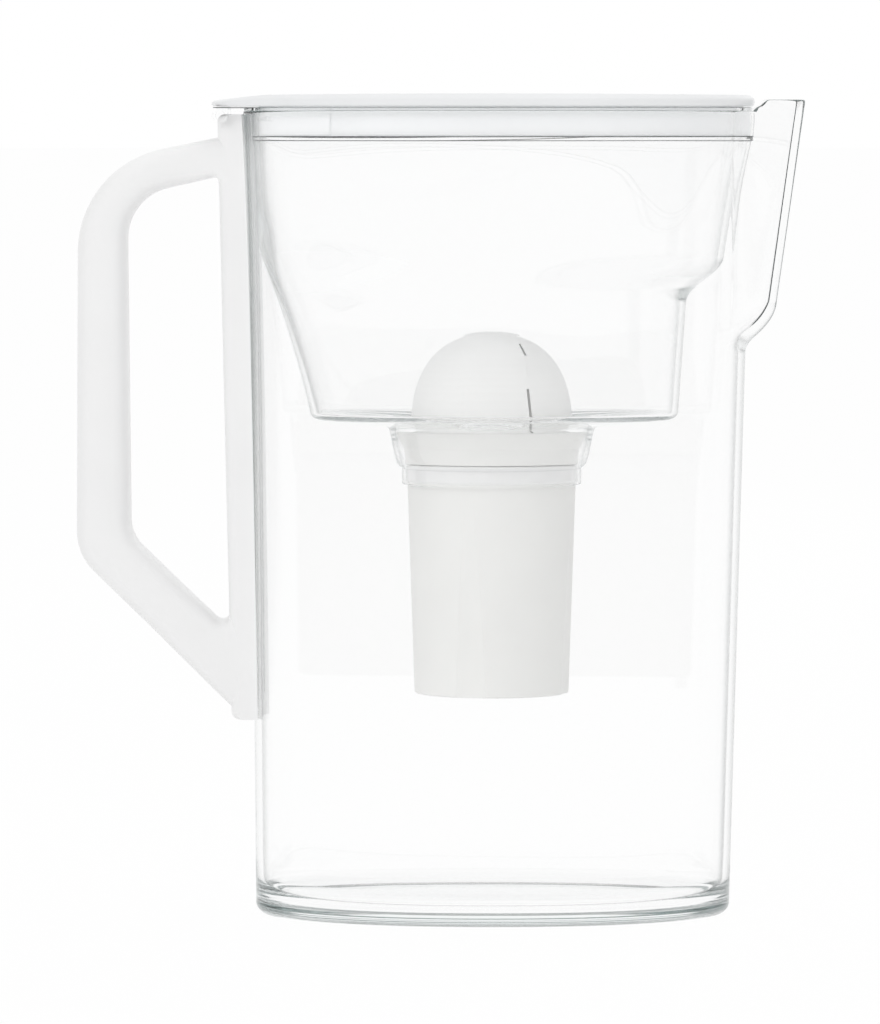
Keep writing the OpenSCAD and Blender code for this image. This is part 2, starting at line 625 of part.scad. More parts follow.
lid_z = flange_z + slip;               // underside of the lid
lid_top = lid_z + lid_edge_t;
lid_wall = 2;
tab_fade = 13;         // the tab runs into the oval over this width
function tab(points, out) =
    [for (p = points) p[0] < 0
        ? [p[0] - out * (1 - ease((abs(p[1]) - tab_half) / tab_fade)), p[1]] : p];
function lid_plan(inset) = tab(
    plan(jug_rear(jug_h) + lid_over - inset, jug_front(jug_h) + lid_over - inset,
         jug_half(jug_h) + lid_over - inset), tab_reach);
lid_len = jug_front(jug_h) + lid_over;
function crown_z(p) = lid_top + lid_crown * (1 - pow(p[0] / lid_len, 2) * 0.7
                                             - pow(p[1] / jug_half(jug_h), 2) * 0.3);
function crowned(points, s, drop) =
    [for (p = points) let (q = [p[0] * s, p[1] * s]) [q[0], q[1], crown_z(q) - drop]];
// The lid gets thinner towards the end of the tab
tab_thin = 0.42;
function thinned(points) = [for (p = points) [p[0], p[1],
    lid_z + (p[2] - lid_z) * (1 - tab_thin * ease((-p[0] - lid_len + 15.5) / 22))]];
plate_in = 4.4;        // the liner's plate lies this far in from the lid's edge
plate_t = 1.4;
function plate_plan(inset) = plan(jug_rear(jug_h) - plate_in + lid_over - inset,
    jug_front(jug_h) - plate_in + lid_over - inset, jug_half(jug_h) - plate_in + lid_over - inset);

module lid_cover() {
    color("#ececec") loft([
        at_z(plate_plan(0), lid_z + plate_t + 0.1), at_z(plate_plan(0), lid_z),
        at_z(lid_plan(1), lid_z), at_z(lid_plan(0.25), lid_z + 0.5),
        thinned(at_z(lid_plan(0), lid_z + 1.2)),
        thinned(at_z(lid_plan(0), lid_z + lid_edge_t - 1.6)),
        thinned(at_z(lid_plan(0.5), lid_z + lid_edge_t - 0.6)),
        thinned(crowned(lid_plan(1.4), 1, 0.25)), thinned(crowned(lid_plan(3), 1, 0)),
        thinned(crowned(lid_plan(6), 0.8, 0)), crowned(lid_plan(8), 0.45, 0),
        at_z([for (p = lid_plan(8)) p * 0.12], lid_top + lid_crown)]);
}

// Plate under the cover, with the skirt that drops inside the collar
skirt_gap = 0.55;
recess_deep = 0.5;
function skirt_plan(inset) = collar_plan(ledge_z, collar_wall + skirt_gap + inset);
module lid_liner() {
    foot = lid_z - skirt_depth;
    color("#f1f2f2") difference() {
        loft([at_z(skirt_plan(skirt_wall), lid_z), at_z(skirt_plan(skirt_wall), foot),
              at_z(skirt_plan(0), foot), at_z(skirt_plan(0), lid_z - 0.1),
              at_z(plate_plan(0.2), lid_z), at_z(plate_plan(0.2), lid_z + plate_t)]);
        difference() {
            translate([-recess_back - recess_l / 2, -base_half - side_flare, foot - 1])
                cube([recess_l, base_half / 2 + side_flare, skirt_depth]);
            loft([at_z(skirt_plan(recess_deep), foot - 2), at_z(skirt_plan(recess_deep), lid_z + 1)]);
        }
    }
}

// Bar under the tab with two lugs, each with a stub pin that turns in an ear
lug_r = 2.4;
bar_t = 1.2;
module lid_hinge() {
    reach = lid_z - hinge_z;
    wide = 2 * (lug_in + lug_t);
    color("#e9f0f1", 0.4) translate([hinge_x, 0, hinge_z]) {
        translate([-1.2, -wide / 2, reach - bar_t]) cube([1.2 + lug_r, wide, bar_t]);
        for (s = [-1, 1]) translate([0, s * (lug_in + lug_t / 2), 0]) {
            rotate([90, 0, 0]) cylinder(r = lug_r, h = lug_t, center = true);
            translate([-lug_r, -lug_t / 2, 0]) cube([2 * lug_r, lug_t, reach]);
            translate([0, s * (ear_t + slip) / 2, 0]) rotate([90, 0, 0])
                cylinder(r = pin_r, h = lug_t + ear_t + slip - 0.4, center = true);
        }
    }
}

jug_shell();
handle_spine();
handle_shell_near();
handle_shell_far();
hopper_shell();
lid_cover();
lid_liner();
lid_hinge();
cartridge_cup();
cartridge_dome();
cartridge_seal();
inlet_screen();
top_fleece();
carbon_bed();
divider_fleece();
resin_bed();
bottom_fleece();
outlet_grid();
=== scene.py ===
import bpy
import math
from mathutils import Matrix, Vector


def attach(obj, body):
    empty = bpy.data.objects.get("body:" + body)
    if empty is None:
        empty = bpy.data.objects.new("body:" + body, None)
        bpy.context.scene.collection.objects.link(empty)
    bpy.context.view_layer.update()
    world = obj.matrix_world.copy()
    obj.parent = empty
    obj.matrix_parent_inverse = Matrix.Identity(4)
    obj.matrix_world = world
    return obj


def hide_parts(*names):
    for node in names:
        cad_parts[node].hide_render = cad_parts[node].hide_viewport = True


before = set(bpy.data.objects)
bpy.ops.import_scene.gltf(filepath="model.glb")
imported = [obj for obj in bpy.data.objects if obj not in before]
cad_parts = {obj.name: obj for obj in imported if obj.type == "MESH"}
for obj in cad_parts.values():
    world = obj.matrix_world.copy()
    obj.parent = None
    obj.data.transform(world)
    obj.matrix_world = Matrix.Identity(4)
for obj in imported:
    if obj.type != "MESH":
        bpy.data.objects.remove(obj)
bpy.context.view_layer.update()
print("frame loaded:", len(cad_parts), "nodes")

mm = 0.001
planSteps = 480          # points round each oval
rodSteps = 48            # points round each rod
crowding = 0.25          # draws them towards the oval's two ends
sharpFrom = 32           # two faces that meet at more degrees than this show an edge


def linear(code):
    # sRGB hex to the linear colour the shaders want
    parts = [int(code[i:i + 2], 16) / 255 for i in (1, 3, 5)]
    return tuple(p / 12.92 if p <= 0.04045 else ((p + 0.055) / 1.055) ** 2.4 for p in parts) + (1,)


def addNode(tree, kind, values=None, links=None, **settings):
    made = tree.nodes.new(kind)
    for name, value in settings.items():
        setattr(made, name, value)
    for socket, value in (values or {}).items():
        made.inputs[socket].default_value = value
    for socket, source in (links or {}).items():
        tree.links.new(source, made.inputs[socket])
    return made


def newMaterial(name):
    made = bpy.data.materials.new(name)
    made.use_nodes = True
    made.node_tree.nodes.clear()
    return made, made.node_tree


def mix(a, b, t):
    return a + (b - a) * t


def ease(t):
    t = min(1, max(0, t))
    return t * t * (3 - 2 * t)


def signedPower(v, e):
    return math.copysign(abs(v) ** e, v)


def softMin(a, b, k):
    h = min(1, max(0, 0.5 + (b - a) / (2 * k)))
    return mix(b, a, h) - k * h * (1 - h)


def oval(rear, front, half, power):
    # superellipse seen from above, with its points crowded to the two ends
    ring = []
    for i in range(planSteps):
        t = 2 * math.pi * i / planSteps
        a = t - crowding * math.sin(2 * t)
        ring.append(((front - rear) / 2 + (front + rear) / 2 * signedPower(math.cos(a), 2 / power),
                     half * signedPower(math.sin(a), 2 / power)))
    return ring


def beaked(ring, out, half):
    return [(x + (out * math.cos(math.pi / 2 * y / half) ** 2 if x > 0 and abs(y) < half else 0), y)
            for x, y in ring]


def atHeight(ring, z):
    return [(x, y, z) for x, y in ring]


def arc(start, end, steps):
    return [math.radians(mix(start, end, k / steps)) for k in range(steps + 1)]


def skin(name, rings, tube=False):
    # quads over rings of equal length; a tube joins its last ring to its first
    n, m = len(rings[0]), len(rings)
    points = [tuple(c * mm for c in p) for ring in rings for p in ring]
    faces = []
    for j in range(m if tube else m - 1):
        a, b = j * n, (j + 1) % m * n
        for i in range(n):
            k = (i + 1) % n
            faces.append((a + i, a + k, b + k, b + i))
    if not tube:
        faces += [tuple(range(n - 1, -1, -1)), tuple(range((m - 1) * n, m * n))]
    mesh = bpy.data.meshes.new(name)
    mesh.from_pydata(points, [], faces)
    mesh.validate()
    mesh.shade_smooth()
    mesh.set_sharp_from_angle(angle=math.radians(sharpFrom))
    made = bpy.data.objects.new(name, mesh)
    bpy.context.scene.collection.objects.link(made)
    return made


def block(name, low, high):
    x, y, z = low
    u, v, w = high
    return skin(name, [[(x, y, z), (u, y, z), (u, v, z), (x, v, z)],
                       [(x, y, w), (u, y, w), (u, v, w), (x, v, w)]])


def rod(name, centre, radius, length):
    # lies along Y
    return skin(name, [[(centre[0] + radius * math.cos(a), centre[1] + s * length / 2,
                         centre[2] + radius * math.sin(a)) for a in arc(0, 360, rodSteps)[:-1]]
                       for s in (1, -1)])


def combine(base, other, how):
    # boolean of two meshes; the second is used up
    cut = base.modifiers.new(how, "BOOLEAN")
    cut.operation, cut.solver, cut.object = how, "EXACT", other
    graph = bpy.context.evaluated_depsgraph_get()
    mesh = bpy.data.meshes.new_from_object(base.evaluated_get(graph))
    base.modifiers.clear()
    base.data = mesh
    bpy.data.objects.remove(other)
    mesh.shade_smooth()
    mesh.set_sharp_from_angle(angle=math.radians(sharpFrom))
    return base


def finishPiece(piece, material, body, nodes):
    piece.data.materials.clear()
    piece.data.materials.append(material)
    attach(piece, body)
    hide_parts(*nodes)
    return piece


def clearMoulded(name, look):
    # clear as glass, with a breath of grey-green where the light crosses a long way of it, and
    # painted dark reflection: a dark gloss mixed in where a wall is seen edge-on draws thin dark lines
    material, tree = newMaterial(name)
    clear = addNode(tree, "ShaderNodeBsdfPrincipled", {
        "Base Color": (1, 1, 1, 1), "Roughness": look["roughness"], "IOR": look["ior"],
        "Transmission Weight": 1.0})
    grazing = addNode(tree, "ShaderNodeFresnel", {"IOR": look["ior"]})
    band = addNode(tree, "ShaderNodeValToRGB", links={"Fac": grazing.outputs[0]})
    stops = band.color_ramp.elements
    stops[0].position, stops[0].color = look["paintedEdgeFrom"], (0, 0, 0, 1)
    stops[1].position, stops[1].color = 1.0, (0, 0, 0, 1)
    for position in look["paintedEdgeFull"]:
        stops.new(position).color = (1, 1, 1, 1)
    face = addNode(tree, "ShaderNodeNewGeometry")
    normal = addNode(tree, "ShaderNodeSeparateXYZ", links={0: face.outputs["Normal"]})
    place = addNode(tree, "ShaderNodeTexCoord")
    axes = addNode(tree, "ShaderNodeSeparateXYZ", links={0: place.outputs["Object"]})
    level = addNode(tree, "ShaderNodeMapRange", {3: look["paintedEdgeOutside"], 4: look["paintedEdgeInside"]},
                    {0: face.outputs["Backfacing"]})
    # the painted dark edge stays off floors and ledges, and off the two narrow ends of the oval, the
    # rear one most
    flat = addNode(tree, "ShaderNodeMath", links={0: normal.outputs["Z"]}, operation="ABSOLUTE")
    upright = addNode(tree, "ShaderNodeMapRange", {
        1: look["leanFrom"], 2: look["leanFull"], 3: 1.0, 4: look["flats"]}, {0: flat.outputs[0]})
    rear = addNode(tree, "ShaderNodeMapRange", {
        1: look["rearFull"] * mm, 2: look["rearFrom"] * mm, 3: look["rear"], 4: 1.0},
        {0: axes.outputs["X"]})
    front = addNode(tree, "ShaderNodeMapRange", {
        1: look["frontFrom"] * mm, 2: look["frontFull"] * mm, 3: 1.0, 4: look["front"]},
        {0: axes.outputs["X"]})
    # in the beak the painted dark line goes on the inner face, and hardly any on the outer one
    beak = addNode(tree, "ShaderNodeMapRange", {1: look["beakFrom"] * mm, 2: look["beakFull"] * mm},
                   {0: axes.outputs["X"]})
    turned = addNode(tree, "ShaderNodeMapRange", {
        1: -look["turn"], 2: look["turn"], 3: look["beakOuter"], 4: look["beakInner"]},
        {0: normal.outputs["X"]})
    gain = addNode(tree, "ShaderNodeMix", {2: 1.0}, {0: beak.outputs[0], 3: turned.outputs[0]})
    share = band.outputs["Color"]
    for factor in (level, upright, rear, front, gain):
        product = addNode(tree, "ShaderNodeMath", links={0: share, 1: factor.outputs[0]},
                          operation="MULTIPLY")
        share = product.outputs[0]
    # painted shade: thin dark lines drawn round the wall at the heights of the ledge's and flange's
    # sharp corners
    for z, strength in look["paintedDarkLines"].items():
        near = addNode(tree, "ShaderNodeMath", {1: z * mm, 2: look["paintedLineHalf"] * mm},
                       {0: axes.outputs["Z"]}, operation="COMPARE")
        drawn = addNode(tree, "ShaderNodeMath", links={0: near.outputs[0], 1: upright.outputs[0]},
                        operation="MULTIPLY")
        weighed = addNode(tree, "ShaderNodeMath", {1: strength}, {0: drawn.outputs[0]},
                          operation="MULTIPLY")
        darker = addNode(tree, "ShaderNodeMath", links={0: share, 1: weighed.outputs[0]},
                         operation="MAXIMUM")
        share = darker.outputs[0]
    limited = addNode(tree, "ShaderNodeClamp", links={0: share})
    # painted dark reflection: this dark gloss is mixed into the clear wall by the edge share above
    edge = addNode(tree, "ShaderNodeBsdfGlossy", {"Color": linear(look["edge"]),
                                                  "Roughness": look["roughness"]})
    surface = addNode(tree, "ShaderNodeMixShader", links={
        0: limited.outputs[0], 1: clear.outputs[0], 2: edge.outputs[0]})
    depth = addNode(tree, "ShaderNodeVolumeAbsorption", {
        "Color": linear(look["tint"]), "Density": look["density"]})
    addNode(tree, "ShaderNodeOutputMaterial", links={
        "Surface": surface.outputs[0], "Volume": depth.outputs[0]})
    return material


def opaqueMoulded(name, colour, shade, roughness, grainMm, grainDepth, through=0.0):
    # faint clouds of pigment in the colour, and a fine grain in the gloss
    look = {"cloudScale": 28.0, "cloudDetail": 3.0, "cloudFrom": 0.3, "cloudFull": 0.7,
            "coarser": 3, "grainDetail": 2.0, "grainStrength": 0.25, "ior": 1.5, "passedOn": 0.85}
    material, tree = newMaterial(name)
    place = addNode(tree, "ShaderNodeTexCoord")
    cloud = addNode(tree, "ShaderNodeTexNoise", {
        "Scale": look["cloudScale"], "Detail": look["cloudDetail"]},
        {"Vector": place.outputs["Object"]})
    blend = addNode(tree, "ShaderNodeValToRGB", links={"Fac": cloud.outputs["Fac"]})
    low, high = blend.color_ramp.elements
    low.position, low.color = look["cloudFrom"], linear(shade)
    high.position, high.color = look["cloudFull"], linear(colour)
    # drawn three times as coarse as the real grain, or it would be too fine to show
    grain = addNode(tree, "ShaderNodeTexNoise", {
        "Scale": 1 / (look["coarser"] * grainMm * mm), "Detail": look["grainDetail"]},
        {"Vector": place.outputs["Object"]})
    bump = addNode(tree, "ShaderNodeBump", {
        "Strength": look["grainStrength"], "Distance": grainDepth * mm},
        {"Height": grain.outputs["Fac"]})
    surface = addNode(tree, "ShaderNodeBsdfPrincipled", {"Roughness": roughness, "IOR": look["ior"]},
                      {"Base Color": blend.outputs["Color"], "Normal": bump.outputs["Normal"]})
    if through:
        # a little light gets into the wall, and most of that comes out on its inside
        face = addNode(tree, "ShaderNodeNewGeometry")
        passing = addNode(tree, "ShaderNodeMapRange", {3: through, 4: look["passedOn"]},
                          {0: face.outputs["Backfacing"]})
        passed = addNode(tree, "ShaderNodeBsdfTranslucent", links={"Color": blend.outputs["Color"]})
        surface = addNode(tree, "ShaderNodeMixShader", links={
            0: passing.outputs[0], 1: surface.outputs[0], 2: passed.outputs[0]})
    addNode(tree, "ShaderNodeOutputMaterial", links={"Surface": surface.outputs[0]})
    return material


# places are in millimetres from the jug's axis, painted dark lines in millimetres above its base
# edge is the colour of the painted dark reflection that draws lines where a wall is seen edge-on
sanClear = {"ior": 1.57, "roughness": 0.008, "tint": "#C4D8D6", "density": 2.2, "edge": "#2A3234",
            "paintedEdgeFrom": 0.2, "paintedEdgeFull": (0.4, 0.93), "flats": 0.15, "leanFrom": 0.5,
            "leanFull": 0.95, "rearFull": -78, "rearFrom": -66, "frontFrom": 70, "frontFull": 78,
            "beakFrom": 83, "beakFull": 87, "turn": 0.2, "paintedLineHalf": 0.14}
# thick clear SAN from a polished mould: sharp see-through walls, with painted dark edge lines, the
# darkest in the beak
jugSan = clearMoulded("sanPolishedMouldingPaintedEdges", {
    **sanClear, "paintedEdgeOutside": 0.06, "paintedEdgeInside": 0.34, "rear": 0.15, "front": 0.55,
    "beakOuter": 0.4, "beakInner": 14.0, "paintedDarkLines": {}})
# thinner SAN from the same kind of mould: paler painted dark edges, with crisp painted dark lines at
# ledge and flange
hopperSan = clearMoulded("sanPolishedThinMouldingPaintedEdges", {
    **sanClear, "paintedEdgeOutside": 0.1, "paintedEdgeInside": 0.1, "rear": 0.5, "front": 1.0,
    "beakOuter": 1.0, "beakInner": 1.0, "paintedDarkLines": {254.25: 0.55, 255.5: 1.0, 264.9: 0.6}})
# white ABS from a satin mould: a soft broad sheen that rounds off the loop
handleAbs = opaqueMoulded("absSatinMoulding", "#F8F8F8", "#F5F5F5",
                          roughness=0.34, grainMm=0.5, grainDepth=0.01)
# white ABS from a finer mould: a touch cooler and glossier than the handle
lidAbs = opaqueMoulded("absFineMoulding", "#F1F2F3", "#EEEFF0",
                       roughness=0.3, grainMm=0.5, grainDepth=0.01)
# white ABS as moulded, under the cover: dull and bright behind the clear collar
linerAbs = opaqueMoulded("absDullMoulding", "#FAFBFC", "#F8F9FA",
                         roughness=0.42, grainMm=0.5, grainDepth=0.01)
# filled white polypropylene from a matt mould: the warm dull grey-white of the cup
cupPolypropylene = opaqueMoulded("polypropyleneMattMoulding", "#EEEEEC", "#EAEAE8",
                                 roughness=0.45, grainMm=0.6, grainDepth=0.02)
# unfilled white polypropylene from a matt mould: brighter, with enough light inside for its slots
domePolypropylene = opaqueMoulded("polypropyleneWhiteMoulding", "#FDFDFC", "#FAFAF9",
                                  roughness=0.45, grainMm=0.6, grainDepth=0.02, through=0.12)
# white thermoplastic elastomer, moulded: nearly no gloss, so the ring looks soft
sealElastomer = opaqueMoulded("elastomerMattMoulding", "#EEEEEE", "#EAEAEA",
                              roughness=0.6, grainMm=0.4, grainDepth=0.02)
# natural polypropylene, moulded: greyer and waxy in screen and grid
screenPolypropylene = opaqueMoulded("polypropyleneNaturalMoulding", "#E6E6E4", "#E0E0DE",
                                    roughness=0.5, grainMm=0.6, grainDepth=0.02)
# needled polyester fleece, its fibres drawn coarse enough to show: woolly and without shine
fleeceFelt = opaqueMoulded("polyesterNeedledFleece", "#F4F4F2", "#E2E2DF",
                           roughness=0.9, grainMm=0.35, grainDepth=0.12)
# crushed coconut carbon: near black, rough grains with a weak glint
carbonGrain = opaqueMoulded("carbonCrushedGrains", "#3A3A3C", "#1B1B1D",
                            roughness=0.7, grainMm=0.9, grainDepth=0.4)
# ion exchange resin in beads: amber, slightly shiny, like roe
resinBeads = opaqueMoulded("resinCastBeads", "#E2D2A6", "#C4AC74",
                           roughness=0.4, grainMm=0.6, grainDepth=0.3)
print("materials made")


jug = {"height": 263.8, "baseRear": 77.7, "baseFront": 78.4, "baseHalf": 49.4,
       "rearFlare": 3.9, "frontFlare": 7.1, "sideFlare": 4.8, "power": 2.2,
       "wall": 2.4, "floor": 3.6, "edge": 3.5, "floorRound": 8.5, "rimRound": 0.7,
       "spoutDrop": 80.8, "spoutSwell": 17, "spoutFoot": 9.7, "spoutReach": 17.3,
       "spoutBend": 4.35, "spoutSteep": 1.2, "spoutSoft": 6, "footSoft": 3.2,
       "spoutHalf": 23, "spoutNarrow": 0.6, "spoutRise": 3.7, "throatLift": 1.6, "rimStep": 1.2,
       "stepOut": 0.1, "stepRun": 0.6, "riseRun": 4.2, "lowRings": (12, 20, 30), "plainFrom": 40,
       "innerFrom": 15}
spoutLow = jug["height"] - jug["spoutDrop"]
spoutFull = spoutLow + jug["spoutSwell"]
lipHeight = jug["height"] + jug["spoutRise"]


def jugRear(z):
    u = z / jug["height"]
    return jug["baseRear"] + jug["rearFlare"] * (u + max(0, u) ** 6) / 2


def jugFront(z):
    return jug["baseFront"] + jug["frontFlare"] * z / jug["height"]


def jugHalf(z):
    return jug["baseHalf"] + jug["sideFlare"] * z / jug["height"]


def spoutOut(z):
    # steep at the foot, then leaning out to the lip, with a wide round between them
    leaning = mix(jug["spoutFoot"], jug["spoutReach"], (z - spoutFull) / (lipHeight - spoutFull))
    steep = jug["spoutSteep"] * (z - spoutLow - jug["spoutBend"])
    return max(0, -softMin(0, -softMin(steep, leaning, jug["spoutSoft"]), jug["footSoft"]))


def jugPlan(z, inset, spoutAt):
    return beaked(oval(jugRear(z) - inset, jugFront(z) - inset, jugHalf(z) - inset, jug["power"]),
                  spoutOut(spoutAt), jug["spoutHalf"] - jug["spoutNarrow"] * inset)


def rimRing(inset, drop):
    # a small step up where the beak starts, then the rise to its lip
    step, run = jugFront(jug["height"]) + jug["stepOut"], jug["stepRun"]
    return [(x, y, jug["height"] + jug["rimStep"] * ease((x - step) / run)
             + (jug["spoutRise"] - jug["rimStep"]) * ease((x - step - run) / jug["riseRun"]) - drop)
            for x, y in jugPlan(jug["height"], inset, lipHeight)]


def wallX(z, y):
    # outside of the rear wall
    r, f, b = jugRear(z), jugFront(z), jugHalf(z)
    return (f - r) / 2 - (f + r) / 2 * (1 - (abs(y) / b) ** jug["power"]) ** (1 / jug["power"])


def jugShell():
    e, w, r = jug["edge"], jug["wall"], jug["rimRound"]
    foot = [atHeight(jugPlan(e, e * (1 - math.sin(a)), 0), e * (1 - math.cos(a)))
            for a in arc(0, 90, 8)]
    # the rings stand close together where the spout swells
    heights = list(jug["lowRings"]) \
        + [mix(jug["plainFrom"], spoutLow - 4, k / 14) for k in range(15)] \
        + [mix(spoutLow - 2, spoutFull + 2, k / 34) for k in range(35)] \
        + [mix(spoutFull + 6, jug["height"] - 6, k / 10) for k in range(11)] + [jug["height"] - 2.5]
    outside = [atHeight(jugPlan(z, 0, z), z) for z in heights]
    rim = [rimRing(r * (1 - math.cos(a)), r * (1 - math.sin(a))) for a in arc(0, 90, 4)] \
        + [rimRing(w - r * (1 - math.cos(a)), r * (1 - math.sin(a))) for a in arc(90, 0, 4)]
    inside = [atHeight(jugPlan(z, w, z - jug["throatLift"]), z)
              for z in reversed([q for q in heights if q > jug["innerFrom"]])]
    bowl = [atHeight(jugPlan(jug["floor"] + jug["floorRound"],
                             w + jug["floorRound"] * (1 - math.sin(a)), 0),
                     jug["floor"] + jug["floorRound"] * (1 - math.cos(a))) for a in arc(90, 0, 12)]
    return skin("jugShell", foot + outside + rim + inside + bowl)


handle = {"out": 136.5, "lean": 0.8, "gripT": 16.1, "swell": 1.9, "half": 12.6, "wall": 2.4,
          "spineT": 7.2, "spineTaper": 1.2, "spineFoot": 64.4, "spineTopDrop": 1.1, "standOff": 1.5,
          "armDrop": 8.6, "armT": 12.8, "armFall": 9.5, "armInFall": 6.9,
          "lowCorner": 118.2, "lowArm": 68.3, "lowArmT": 17.2, "ribHalf": 4, "ribT": 3,
          "ribUp": 8, "ribDown": 6, "slip": 0.3, "seam": 0.08, "rearRound": 3, "endRound": 2.5,
          "lowRun": 8, "topRun": 3, "rootRise": 25, "rootRun": 6.4, "gripPower": 3,
          "rootPower": 5.5, "rootReach": 22, "sectionSteps": 18,
          # each corner of the loop: its radius, its points, and the run of a straight one
          "outerCorners": ((0, 8, 10), (18, 8, 0), (34.5, 16, 0), (0, 6, 3)),
          "innerCorners": ((2.6, 8, 0), (12, 8, 0), (17, 16, 0), (1.6, 6, 0))}


def jugRib():
    # the rail on the rear wall that the handle's spine slides over
    low = handle["spineFoot"] + handle["ribUp"]
    high = jug["height"] - handle["spineTopDrop"] - handle["ribDown"]
    rings, y = [], handle["ribHalf"]
    for k in range(25):
        z = mix(low, high, k / 24)
        deep, back = wallX(z, 0) + jug["wall"] / 2, wallX(z, 0) - handle["ribT"]
        rings.append([(deep, y, z), (back, y, z), (back, -y, z), (deep, -y, z)])
    return skin("jugRib", rings)


finishPiece(combine(jugShell(), jugRib(), "UNION"), jugSan, "jug", ["jug_shell"])
print("jug made")

spineTop = jug["height"] - handle["spineTopDrop"]
armHeight = jug["height"] - handle["armDrop"]
spineFootX = wallX(handle["spineFoot"], 0) - handle["spineT"]
spineSlope = (wallX(armHeight, 0) - handle["spineT"] - handle["spineTaper"] - spineFootX) \
    / (armHeight - handle["spineFoot"])


def spineX(z):
    return spineFootX + spineSlope * (z - handle["spineFoot"])


def spineRing(z, inset):
    # the side walls stand off the jug a little more towards the top
    s, r, back = handle["ribHalf"] + handle["slip"], handle["rearRound"], spineX(z) + inset
    off = handle["slip"] + handle["standOff"] * (z - handle["spineFoot"]) \
        / (spineTop - handle["spineFoot"])
    side = [(wallX(z, 0) - handle["ribT"] - handle["slip"], s)]
    side += [(wallX(z, y) - off, y) for y in
             [mix(s, handle["half"], k / 8) for k in range(9)]]
    side += [(back + r - r * math.sin(a), handle["half"] - r + r * math.cos(a))
             for a in arc(0, 90, 8)]
    return atHeight(side + [(x, -y) for x, y in reversed(side)], z)


def spineBody():
    edge, foot = handle["endRound"], handle["spineFoot"]
    low = [spineRing(foot + edge * (1 - math.cos(a)), edge * (1 - math.sin(a)))
           for a in arc(0, 90, 8)]
    middle = [spineRing(mix(foot + edge, spineTop - edge, k / 30), 0) for k in range(1, 30)]
    high = [spineRing(spineTop - edge * (1 - math.cos(a)), edge * (1 - math.sin(a)))
            for a in arc(90, 0, 8)]
    return skin("handleSpine", low + middle + high)


def corner(p0, p1, p2, radius, steps, run):
    # rounded corner as a circular arc; a straight one spreads its points over run
    d, e = (p1 - p0).normalized(), (p2 - p1).normalized()
    turn = math.acos(min(1, d.dot(e)))
    if turn < math.radians(1):
        return [p1 + d * run * (k / steps - 0.5) for k in range(steps + 1)]
    t, w = radius * math.tan(turn / 2), math.cos(turn / 2)
    made = []
    for k in range(steps + 1):
        u = k / steps
        a, b, c = (1 - u) ** 2, 2 * u * (1 - u) * w, u * u
        made.append(((p1 - d * t) * a + p1 * b + (p1 + e * t) * c) / (a + b + c))
    return made


def pathThrough(points, stops):
    made = [points[0]]
    for i in range(1, len(points) - 1):
        made += corner(points[i - 1], points[i], points[i + 1], *stops[i - 1])
    return made + [points[-1]]


def denser(path, times):
    made = []
    for a, b in zip(path, path[1:]):
        made += [a.lerp(b, k / times) for k in range(times)]
    return made + [path[-1]]


def handleHalf(side):
    out, topX = -handle["out"], -handle["out"] + handle["lean"]
    gripIn, gripInLow = topX + handle["gripT"], out + handle["gripT"] + handle["swell"]
    lowOut = Vector((out, handle["lowCorner"]))
    lowEnd = Vector((spineX(handle["lowArm"]), handle["lowArm"]))
    lowWay = (lowEnd - lowOut).normalized()
    p = lowOut + Vector((-lowWay.y, lowWay.x)) * handle["lowArmT"]
    lowIn = Vector((gripInLow, p.y + (gripInLow - p.x) * lowWay.y / lowWay.x))
    rootX = spineX(handle["lowArm"] + handle["rootRise"])
    lowRoot = Vector((rootX, p.y + (rootX - p.x) * lowWay.y / lowWay.x))
    topEnd = Vector((spineX(armHeight), armHeight))
    topOut = Vector((topX, armHeight - handle["armFall"]))
    topRoot = Vector((spineX(armHeight - handle["armT"]), armHeight - handle["armT"]))
    topIn = Vector((gripIn, armHeight - handle["armT"] - handle["armInFall"]))
    lowFoot = lowRoot.y + handle["rootRun"]
    topFoot = topRoot.y - handle["topRun"]
    outer = pathThrough([lowEnd, lowEnd - lowWay * handle["lowRun"], lowOut, topOut,
                         topEnd + (topOut - topEnd).normalized() * handle["topRun"], topEnd],
                        handle["outerCorners"])
    inner = pathThrough([Vector((spineX(lowFoot), lowFoot)), lowRoot, lowIn, topIn, topRoot,
                         Vector((spineX(topFoot), topFoot))], handle["innerCorners"])
    rings = []
    for po, pi in zip(denser(outer, 2), denser(inner, 2)):
        m, h = (po + pi) / 2, (po - pi) / 2
        near = ease(1 - (spineX(m.y) - m.x) / handle["rootReach"])
        e = 2 / mix(handle["gripPower"], handle["rootPower"], near)
        thin = (h.length - handle["wall"]) / h.length
        ring = []
        for a in arc(0, 180, handle["sectionSteps"]):
            q = m + h * signedPower(math.cos(a), e)
            ring.append((q.x, side * (handle["seam"] / 2 + (handle["half"] - handle["seam"] / 2)
                                      * abs(math.sin(a)) ** e), q.y))
        for a in arc(180, 0, handle["sectionSteps"]):
            q = m + h * thin * signedPower(math.cos(a), e)
            ring.append((q.x, side * (handle["seam"] / 2 + (handle["half"] - handle["wall"])
                                      * abs(math.sin(a)) ** e), q.y))
        rings.append(ring if side < 0 else ring[::-1])
    # the two roots follow the spine's rounded rear edge
    r, flat = handle["rearRound"], handle["half"] - handle["rearRound"]
    for end in (0, -1):
        rings[end] = [(x + r - math.sqrt(r * r - min(r, max(0, abs(y) - flat)) ** 2), y, z)
                      for x, y, z in rings[end]]
    return rings


finishPiece(spineBody(), handleAbs, "jug", ["handle_spine"])
for side, name, nodeName in ((-1, "handleHalfNear", "handle_shell_near"),
                             (1, "handleHalfFar", "handle_shell_far")):
    finishPiece(skin(name, handleHalf(side)), handleAbs, "jug", [nodeName])
print("handle made")


